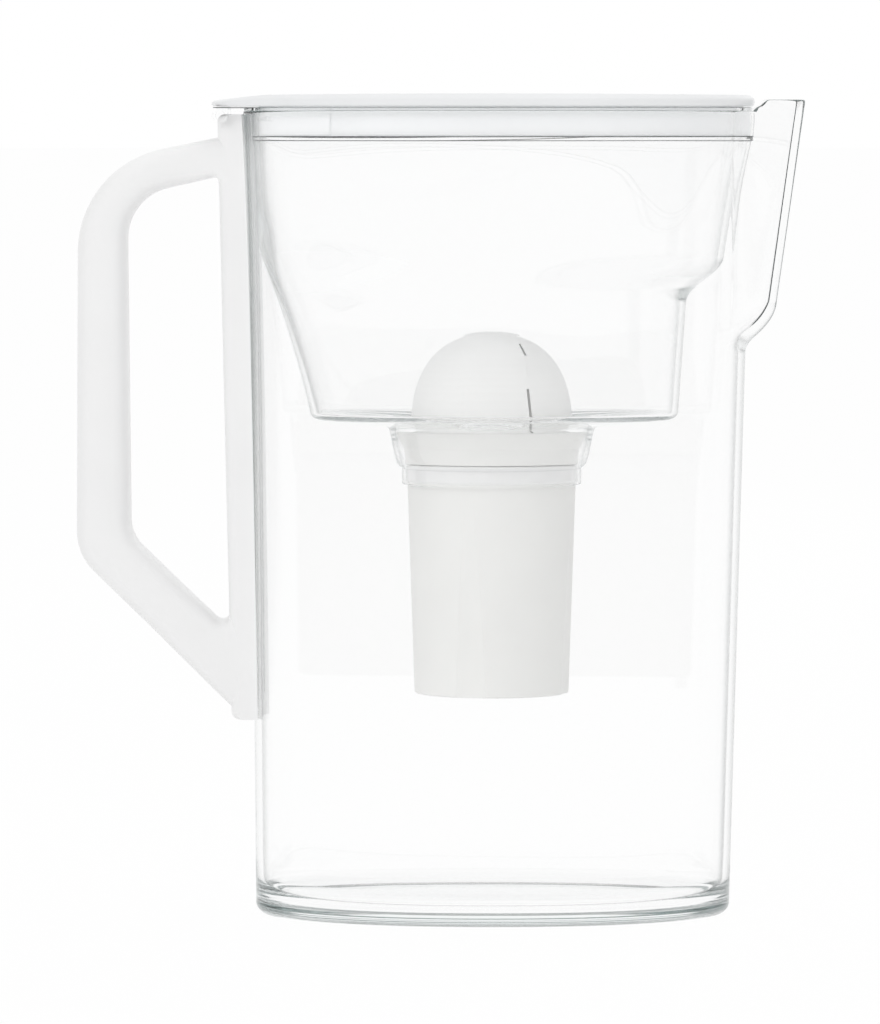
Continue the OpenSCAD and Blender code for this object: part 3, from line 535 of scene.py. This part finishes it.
cartridge = {"flangeR": 31.6, "flangeDown": 2.8, "cupR": 27.6, "bandDrop": 11, "sealDrop": 17.6}
hopper = {"flangeT": 1.2, "collarWall": 1.5, "ledgeDrop": 8.2, "ledgeT": 1.5, "wall": 2,
          "depth": 101, "floorRear": 59, "floorFront": 61, "floorHalf": 40,
          "rearLean": 0.225, "rearBow": 0.0032, "sideLean": 0.17, "shelfUp": 41.2,
          "shelfHeight": 9.2, "shelfStep": 11.2, "frontLean": 0.07, "floorFall": 2.2,
          "neckGap": 0.4, "neckWall": 1.5, "cornerRound": 2.7, "shelfSoft": 3.4,
          "rearSoft": 7, "wallGap": 0.6, "collarGap": 0.25, "noseHalf": 15, "noseOut": 2.4,
          "noseFade": 22, "seat": 0.04, "sealGap": 0.1, "sleeveHeight": 4.4, "sleeveGap": 0.61,
          "sleeveWall": 1.2, "lip": 0.8, "stepGap": 1.9, "stepBelow": 0.9, "stepAbove": 2.4,
          "rearSoftOut": 2, "sideSoft": 3, "flangeNose": 0.1, "shelfMargin": 6, "ringsFrom": 3,
          "ringsTo": 0.8, "cutEdge": 0.2,
          "outerFlare": ((0, -1.8), (0.4, -0.9), (1.4, -0.1), (2.6, 0.1)),
          "innerFlare": ((2.4, 2.2), (1, 1.5), (0, -0.2), (0, -1.8))}
flangeTop = jug["height"] + hopper["flangeT"]
ledgeTop = jug["height"] - hopper["ledgeDrop"]
floorUnder = jug["height"] - hopper["depth"]
neckUnder = floorUnder - hopper["floorFall"]
shelfTop = floorUnder + hopper["shelfUp"] + hopper["shelfHeight"]
shelfTopX = hopper["floorFront"] + hopper["frontLean"] * (shelfTop - floorUnder) \
    + hopper["shelfStep"]
ledgeFront = jugFront(ledgeTop) - jug["wall"] - hopper["wallGap"]


def hopperRear(z, k):
    h = z - floorUnder
    return softMin(jugRear(z) - jug["wall"] - hopper["wallGap"],
                   hopper["floorRear"] + (hopper["rearLean"] + hopper["rearBow"] / 2 * h) * h, k)


def hopperFront(z):
    above = shelfTopX + (ledgeFront - shelfTopX) / (ledgeTop - shelfTop) * (z - shelfTop)
    below = hopper["floorFront"] + hopper["frontLean"] * (z - floorUnder)
    slope = shelfTopX + (hopper["frontLean"] + hopper["shelfStep"] / hopper["shelfHeight"]) \
        * (z - shelfTop)
    k = hopper["shelfSoft"]
    return softMin(above, -softMin(-below, -slope, k), k)


def nose(z):
    low = ledgeTop - hopper["noseFade"]
    return hopper["noseOut"] * ease((z - low) / (jug["height"] - low))


def hopperPlan(z, inset):
    half = softMin(jugHalf(z) - jug["wall"] - hopper["wallGap"],
                   hopper["floorHalf"] + hopper["sideLean"] * (z - floorUnder),
                   hopper["sideSoft"])
    rear = hopperRear(z, hopper["rearSoft"] if inset > 0 else hopper["rearSoftOut"])
    return beaked(oval(rear - inset, hopperFront(z) - inset, half - inset, jug["power"]),
                  nose(z), hopper["noseHalf"] - inset / 2)


def collarPlan(z, inset):
    e = jug["wall"] + hopper["collarGap"] + inset
    return beaked(oval(jugRear(z) - e, jugFront(z) - e, jugHalf(z) - e, jug["power"]),
                  nose(z), hopper["noseHalf"] - inset / 2)


def flangePlan(inset):
    z = jug["height"]
    return beaked(oval(jugRear(z) - inset, jugFront(z) - inset, jugHalf(z) - inset, jug["power"]),
                  hopper["flangeNose"], hopper["noseHalf"])


def roundRing(r, z):
    return atHeight(oval(r, r, r, 2), z)


flangeZ = floorUnder - cartridge["flangeDown"]      # top of the cartridge's flange
bandFoot = flangeZ - cartridge["bandDrop"]
seatZ = flangeZ - cartridge["sealDrop"] - hopper["sealGap"]
sleeveTop = seatZ + hopper["sleeveHeight"]
sleeveR = cartridge["cupR"] + hopper["sleeveGap"]
lipR = cartridge["cupR"] + handle["slip"]
neckIn = cartridge["flangeR"] + hopper["neckGap"]
neckOut = neckIn + hopper["neckWall"]
stepIn = cartridge["cupR"] + hopper["stepGap"]


def hopperShell():
    hw, cw, w = hopper["wall"], hopper["collarWall"], hopper["neckWall"]
    c, inner = hopper["cornerRound"], hopper["cornerRound"] - hopper["wall"]
    lip, sleeveOut = seatZ - hopper["lip"], sleeveR + hopper["sleeveWall"]
    stepLow, stepHigh = bandFoot - hopper["stepBelow"], bandFoot + hopper["stepAbove"]
    neckUp = [roundRing(lipR, lip), roundRing(sleeveOut - hopper["cutEdge"], lip),
              roundRing(sleeveOut, lip + hopper["cutEdge"]), roundRing(sleeveOut, sleeveTop),
              roundRing(stepIn + w, stepLow), roundRing(stepIn + w + 1, stepHigh)]
    neckUp += [roundRing(neckOut + dr, neckUnder + dz) for dr, dz in hopper["outerFlare"]]
    corners = [atHeight(hopperPlan(floorUnder + c, c * (1 - math.sin(a))),
                        floorUnder + c * (1 - math.cos(a))) for a in arc(0, 90, 8)]
    top = hopper["depth"] - hopper["ledgeDrop"] - hopper["ledgeT"] - hopper["ringsTo"]
    shelfLow = hopper["shelfUp"] - hopper["shelfMargin"]
    shelfHigh = hopper["shelfUp"] + hopper["shelfHeight"] + hopper["shelfMargin"]
    # the rings stand close together round the shelf
    heights = [mix(c + hopper["ringsFrom"], shelfLow, k / 14) for k in range(14)] \
        + [mix(shelfLow, shelfHigh, k / 40) for k in range(40)] \
        + [mix(shelfHigh, top, k / 16) for k in range(17)]
    outside = [atHeight(hopperPlan(floorUnder + h, 0), floorUnder + h) for h in heights]
    low, seat = ledgeTop - hopper["ledgeT"], jug["height"] + hopper["seat"]
    # ledge, collar and flange, with their edges broken by a few tenths of a millimetre
    collar = [atHeight(hopperPlan(low, 0), low - 0.04), atHeight(collarPlan(low, 0), low),
              atHeight(collarPlan(low + 0.1, 0), low + 0.1),
              atHeight(collarPlan(seat - 0.2, 0), seat - 0.2), atHeight(collarPlan(seat, 0), seat),
              atHeight(flangePlan(0.4), seat), atHeight(flangePlan(0.3), seat + 0.1),
              atHeight(flangePlan(0.3), flangeTop - 0.3), atHeight(flangePlan(0.4), flangeTop - 0.1),
              atHeight(flangePlan(0.6), flangeTop),
              atHeight(collarPlan(jug["height"], cw - 0.1), flangeTop),
              atHeight(collarPlan(jug["height"], cw), flangeTop - 0.1),
              atHeight(collarPlan(ledgeTop, cw), ledgeTop + 0.1),
              atHeight(collarPlan(ledgeTop, cw + 0.1), ledgeTop),
              atHeight(hopperPlan(ledgeTop, hw), ledgeTop)]
    inside = [atHeight(hopperPlan(floorUnder + h, hw), floorUnder + h)
              for h in reversed(heights[:-1])]
    bowl = [atHeight(hopperPlan(floorUnder + c, hw + inner * (1 - math.sin(a))),
                     floorUnder + hw + inner * (1 - math.cos(a))) for a in arc(90, 0, 6)]
    neckDown = [roundRing(neckIn + dr, neckUnder + dz) for dr, dz in hopper["innerFlare"]]
    neckDown += [roundRing(stepIn + 1, stepHigh), roundRing(stepIn, stepLow),
                 roundRing(sleeveR, sleeveTop), roundRing(sleeveR, seatZ), roundRing(lipR, seatZ)]
    return skin("hopperShell", neckUp + corners + outside + collar + inside + bowl + neckDown,
                tube=True)


hinge = {"back": 6.9, "pinR": 1.5, "pinGap": 0.08, "earT": 3, "lugT": 3.4, "earR": 2.7,
         "spineGap": 0.7, "webUp": 0.4, "topGap": 0.02, "tongueUp": 0.06, "tongueOut": 1,
         "tongueShort": 0.5, "boreOver": 2}
hingeX = -(jugRear(jug["height"]) + hinge["back"])
hingeZ = flangeTop - hinge["earR"]
earIn = handle["half"] + hinge["spineGap"] + hinge["lugT"] + handle["slip"]
earTop = flangeTop - hinge["topGap"]


def addEars(shell):
    rearX = wallX(jug["height"], earIn) - handle["slip"]
    for s in (-1, 1):
        near, far = earIn, earIn + hinge["earT"]
        low, high = (min(s * near, s * far), max(s * near, s * far))
        ear = rod("ear", (hingeX, s * (near + far) / 2, hingeZ), hinge["earR"], hinge["earT"])
        web = block("web", (hingeX, low, hingeZ + hinge["webUp"]), (rearX, high, earTop))
        ear = combine(ear, web, "UNION")
        tongue = block("tongue", (rearX - hinge["tongueOut"], low, jug["height"] + hinge["tongueUp"]),
                       (rearX + jug["wall"] - hinge["tongueShort"], high, earTop))
        ear = combine(ear, tongue, "UNION")
        bore = rod("bore", (hingeX, s * (near + far) / 2, hingeZ), hinge["pinR"] + hinge["pinGap"],
                   hinge["earT"] + hinge["boreOver"])
        ear = combine(ear, bore, "DIFFERENCE")
        shell = combine(shell, ear, "UNION")
    return shell


finishPiece(addEars(hopperShell()), hopperSan, "hopper", ["hopper_shell"])
print("hopper made")


lid = {"edge": 3.4, "crown": 0.9, "over": 0.7, "tabReach": 9.6, "tabHalf": 20.6, "tabFade": 13,
       "plateIn": 4.4, "plateT": 1.4, "skirtDepth": 9.6, "skirtWall": 1.6, "skirtGap": 0.55,
       "recessLength": 8.8, "recessBack": 47.4, "recessDeep": 0.5, "tabThin": 0.42,
       "thinFrom": 15.5, "thinRun": 22, "lowRound": 1.2, "highRound": 1.6, "roundSquash": 0.86,
       "crownLong": 0.7, "crownWide": 0.3, "browDrop": 0.16, "brow": ((2.4, 0.04), (3.4, 0)),
       "topInset": 6, "topScales": (0.95, 0.85, 0.7, 0.5, 0.3, 0.12), "recessFar": 58,
       "recessNear": 20, "skirtEdge": 0.3, "plateGap": 0.2}
lidUnder = flangeTop + handle["slip"]
lidTop = lidUnder + lid["edge"]


def lidPlan(inset):
    z = jug["height"]
    ring = oval(jugRear(z) + lid["over"] - inset, jugFront(z) + lid["over"] - inset,
                jugHalf(z) + lid["over"] - inset, jug["power"])
    return [(x - lid["tabReach"] * (1 - ease((abs(y) - lid["tabHalf"]) / lid["tabFade"]))
             if x < 0 else x, y) for x, y in ring]


def platePlan(inset):
    z, e = jug["height"], lid["plateIn"] - lid["over"] + inset
    return oval(jugRear(z) - e, jugFront(z) - e, jugHalf(z) - e, jug["power"])


def crowned(ring, scale, drop):
    reach, half = jugFront(jug["height"]) + lid["over"], jugHalf(jug["height"])
    made = []
    for x, y in ring:
        x, y = x * scale, y * scale
        fall = lid["crownLong"] * (x / reach) ** 2
        made.append((x, y, lidTop + lid["crown"] * (1 - fall - lid["crownWide"] * (y / half) ** 2)
                     - drop))
    return made


def thinned(ring):
    # the lid gets thinner towards the end of the tab
    end = jugFront(jug["height"]) + lid["over"]
    return [(x, y, lidUnder + (z - lidUnder)
             * (1 - lid["tabThin"] * ease((-x - end + lid["thinFrom"]) / lid["thinRun"])))
            for x, y, z in ring]


def lidCover():
    rings = [atHeight(platePlan(0), lidUnder + lid["plateT"] + 0.1),
             atHeight(platePlan(0), lidUnder + 0.1), atHeight(platePlan(-0.1), lidUnder),
             atHeight(lidPlan(1), lidUnder)]
    rings += [atHeight(lidPlan(1 - math.sin(a)), lidUnder + lid["lowRound"] * (1 - math.cos(a)))
              for a in arc(15, 90, 5)]
    r = lid["highRound"]
    start = lidUnder + lid["edge"] - r
    rings += [atHeight(lidPlan(0), start)]
    rings += [atHeight(lidPlan(r * (1 - math.cos(a))), start + r * math.sin(a) * lid["roundSquash"])
              for a in arc(15, 60, 4)]
    rings += [crowned(lidPlan(inset), 1, drop)
              for inset, drop in ((r, lid["browDrop"]),) + lid["brow"]]
    rings += [crowned(lidPlan(lid["topInset"]), s, 0) for s in lid["topScales"]]
    return skin("lidCover", rings[:3] + [thinned(ring) for ring in rings[3:]])


def lidLiner():
    def skirt(inset):
        return collarPlan(ledgeTop, hopper["collarWall"] + lid["skirtGap"] + inset)
    foot, w, e, gap = lidUnder - lid["skirtDepth"], lid["skirtWall"], lid["skirtEdge"], lid["plateGap"]
    liner = skin("lidLiner", [
        atHeight(skirt(w), lidUnder), atHeight(skirt(w), foot + e), atHeight(skirt(w - e), foot),
        atHeight(skirt(e), foot), atHeight(skirt(0), foot + e), atHeight(skirt(0), lidUnder - 0.1),
        atHeight(platePlan(gap), lidUnder), atHeight(platePlan(gap), lidUnder + lid["plateT"])])
    x, d = -lid["recessBack"], lid["recessDeep"]
    outside = block("recess", (x - lid["recessLength"] / 2, -lid["recessFar"], foot - 1),
                    (x + lid["recessLength"] / 2, -lid["recessNear"], lidUnder - 1))
    core = skin("core", [atHeight(skirt(d), foot - 2), atHeight(skirt(d), lidUnder + 1)])
    return combine(liner, combine(outside, core, "DIFFERENCE"), "DIFFERENCE")


finishPiece(lidCover(), lidAbs, "lid", ["lid_cover"])
finishPiece(lidLiner(), linerAbs, "lid", ["lid_liner"])
print("lid made")


kept = {"lid_hinge": hopperSan, "cartridge_cup": cupPolypropylene,
        "cartridge_dome": domePolypropylene, "cartridge_seal": sealElastomer,
        "inlet_screen": screenPolypropylene, "outlet_grid": screenPolypropylene,
        "top_fleece": fleeceFelt, "divider_fleece": fleeceFelt, "bottom_fleece": fleeceFelt,
        "carbon_bed": carbonGrain, "resin_bed": resinBeads}
for nodeName, material in kept.items():
    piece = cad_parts[nodeName]
    for place in piece.material_slots:
        place.material = material
print("cartridge dressed")


stage = {"frontFrom": (-0.5, -0.84, 0.2), "frontLight": 1.34, "sideLight": 0.6,
         "floorLight": 0.88, "floorSize": 60.0, "floor": "#F6F6F6", "haze": 0.97, "sky": 0.72,
         "trapped": 0.12, "overhead": 0.75, "overheadFrom": 0.45, "overheadFull": 0.8,
         "lens": 235.3, "eye": (-0.017, -2.2, 0.261), "aim": (-0.017, 0, 0.132), "bounces": 160,
         "lampAim": (0, 0, 0.13), "floorTop": -0.05, "floorUnder": -1, "sensor": 36, "far": 200,
         "transparent": 16}
softboxes = {"softboxFront": {"place": (-0.7, -2.2, 0.7), "size": 0.9, "power": 9},
             "softboxTop": {"place": (0.3, 0.2, 2.0), "size": 1.4, "power": 7},
             "softboxBack": {"place": (0.9, 2.0, 1.0), "size": 1.2, "power": 5}}


def whiteForSight(tree):
    # seen: floor or sky looked at, straight or by way of gloss or glass; caught: light held
    # between clear faces, which gives them their dark edges; through: looked at through a clear
    # wall; lights: what shines on something, such as the whites inside the clear walls
    path = addNode(tree, "ShaderNodeLightPath")
    straight = addNode(tree, "ShaderNodeMath", links={
        0: path.outputs["Is Camera Ray"], 1: path.outputs["Is Glossy Ray"]}, operation="MAXIMUM")
    seen = addNode(tree, "ShaderNodeMath", links={
        0: straight.outputs[0], 1: path.outputs["Is Transmission Ray"]}, operation="MAXIMUM")
    twice = addNode(tree, "ShaderNodeMath", {1: 1.0}, {0: path.outputs["Glossy Depth"]},
                    operation="SUBTRACT", use_clamp=True)
    direct = addNode(tree, "ShaderNodeMath", {0: 1.0}, {1: path.outputs["Diffuse Depth"]},
                     operation="SUBTRACT", use_clamp=True)
    lights = addNode(tree, "ShaderNodeMath", {0: 1.0}, {1: direct.outputs[0]},
                     operation="SUBTRACT", use_clamp=True)
    caught = addNode(tree, "ShaderNodeMath", links={0: twice.outputs[0], 1: direct.outputs[0]},
                     operation="MULTIPLY")
    through = addNode(tree, "ShaderNodeMath", links={
        0: path.outputs["Is Transmission Ray"], 1: direct.outputs[0]}, operation="MULTIPLY")
    return seen.outputs[0], caught.outputs[0], through.outputs[0], lights.outputs[0]


def paleFloor():
    # matt painted board: takes the object's soft shadow, and is plain white wherever it is seen
    material, tree = newMaterial("paintedMattBoard")
    seen, caught, through, lights = whiteForSight(tree)
    matt = addNode(tree, "ShaderNodeBsdfDiffuse", {"Color": linear(stage["floor"])})
    level = addNode(tree, "ShaderNodeMapRange", {3: 1.0, 4: 1 - stage["trapped"]}, {0: caught})
    inward = addNode(tree, "ShaderNodeMapRange", {3: 1.0, 4: stage["floorLight"]}, {0: lights})
    lower = addNode(tree, "ShaderNodeMath", links={0: level.outputs[0], 1: inward.outputs[0]},
                    operation="MINIMUM")
    glow = addNode(tree, "ShaderNodeEmission", {"Color": (1, 1, 1, 1)},
                   {"Strength": lower.outputs[0]})
    share = addNode(tree, "ShaderNodeMapRange", {4: stage["haze"]}, {0: seen})
    blend = addNode(tree, "ShaderNodeMixShader", links={0: share.outputs[0], 1: matt.outputs[0],
                                                        2: glow.outputs[0]})
    addNode(tree, "ShaderNodeOutputMaterial", links={"Surface": blend.outputs[0]})
    return material


s = stage["floorSize"] * 1000
floor = block("floor", (-s, -s, stage["floorUnder"]), (s, s, stage["floorTop"]))
floor.data.materials.append(paleFloor())

world = bpy.data.worlds.new("studio")
bpy.context.scene.world = world
world.use_nodes = True
tree = world.node_tree
tree.nodes.clear()
seen, caught, through, lights = whiteForSight(tree)
place = addNode(tree, "ShaderNodeTexCoord")
height = addNode(tree, "ShaderNodeSeparateXYZ", links={0: place.outputs["Generated"]})
above = addNode(tree, "ShaderNodeMapRange", {1: stage["overheadFrom"], 2: stage["overheadFull"]},
                {0: height.outputs["Z"]})
overhead = addNode(tree, "ShaderNodeMath", links={0: above.outputs[0], 1: through},
                   operation="MULTIPLY")
roof = addNode(tree, "ShaderNodeMapRange", {3: 1.0, 4: 1 - stage["overhead"]},
               {0: overhead.outputs[0]})
inner = addNode(tree, "ShaderNodeMapRange", {3: 1.0, 4: 1 - stage["trapped"]}, {0: caught})
dark = addNode(tree, "ShaderNodeMath", links={0: roof.outputs[0], 1: inner.outputs[0]},
               operation="MINIMUM")
# what comes in through the clear walls is brighter from the front, as from a softbox there
front = addNode(tree, "ShaderNodeVectorMath", {1: stage["frontFrom"]},
                {0: place.outputs["Generated"]}, operation="DOT_PRODUCT")
lobe = addNode(tree, "ShaderNodeMapRange", {3: stage["sideLight"], 4: stage["frontLight"]},
               {0: front.outputs["Value"]}, interpolation_type="SMOOTHSTEP")
inward = addNode(tree, "ShaderNodeMix", {2: 1.0}, {0: lights, 3: lobe.outputs[0]})
level = addNode(tree, "ShaderNodeMix", {2: stage["sky"]}, {0: seen, 3: inward.outputs[0]})
strength = addNode(tree, "ShaderNodeMath", links={0: level.outputs[0], 1: dark.outputs[0]},
                   operation="MULTIPLY")
sky = addNode(tree, "ShaderNodeBackground", {"Color": (1, 1, 1, 1)},
              {"Strength": strength.outputs[0]})
addNode(tree, "ShaderNodeOutputWorld", links={"Surface": sky.outputs[0]})


def aimed(made, place, target):
    bpy.context.scene.collection.objects.link(made)
    made.location = place
    made.rotation_euler = (Vector(target) - Vector(place)).to_track_quat("-Z", "Y").to_euler()
    return made


for name, lamp in softboxes.items():
    data = bpy.data.lights.new(name, "AREA")
    data.shape, data.size, data.energy = "SQUARE", lamp["size"], lamp["power"]
    box = aimed(bpy.data.objects.new(name, data), lamp["place"], stage["lampAim"])
    box.visible_glossy = box.visible_transmission = False     # no bright squares in clear walls

camera = bpy.data.cameras.new("camera")
camera.lens, camera.sensor_width, camera.clip_end = stage["lens"], stage["sensor"], stage["far"]
scene = bpy.context.scene
scene.camera = aimed(bpy.data.objects.new("camera", camera), stage["eye"], stage["aim"])
scene.view_settings.view_transform = "Standard"
# light runs far along inside the clear walls
scene.cycles.max_bounces = stage["bounces"]
scene.cycles.transmission_bounces = stage["bounces"]
scene.cycles.glossy_bounces = stage["bounces"]
scene.cycles.blur_glossy = 0    # keeps the clear walls clear for the light that leaves the whites
scene.cycles.transparent_max_bounces = stage["transparent"]
print("stage made")
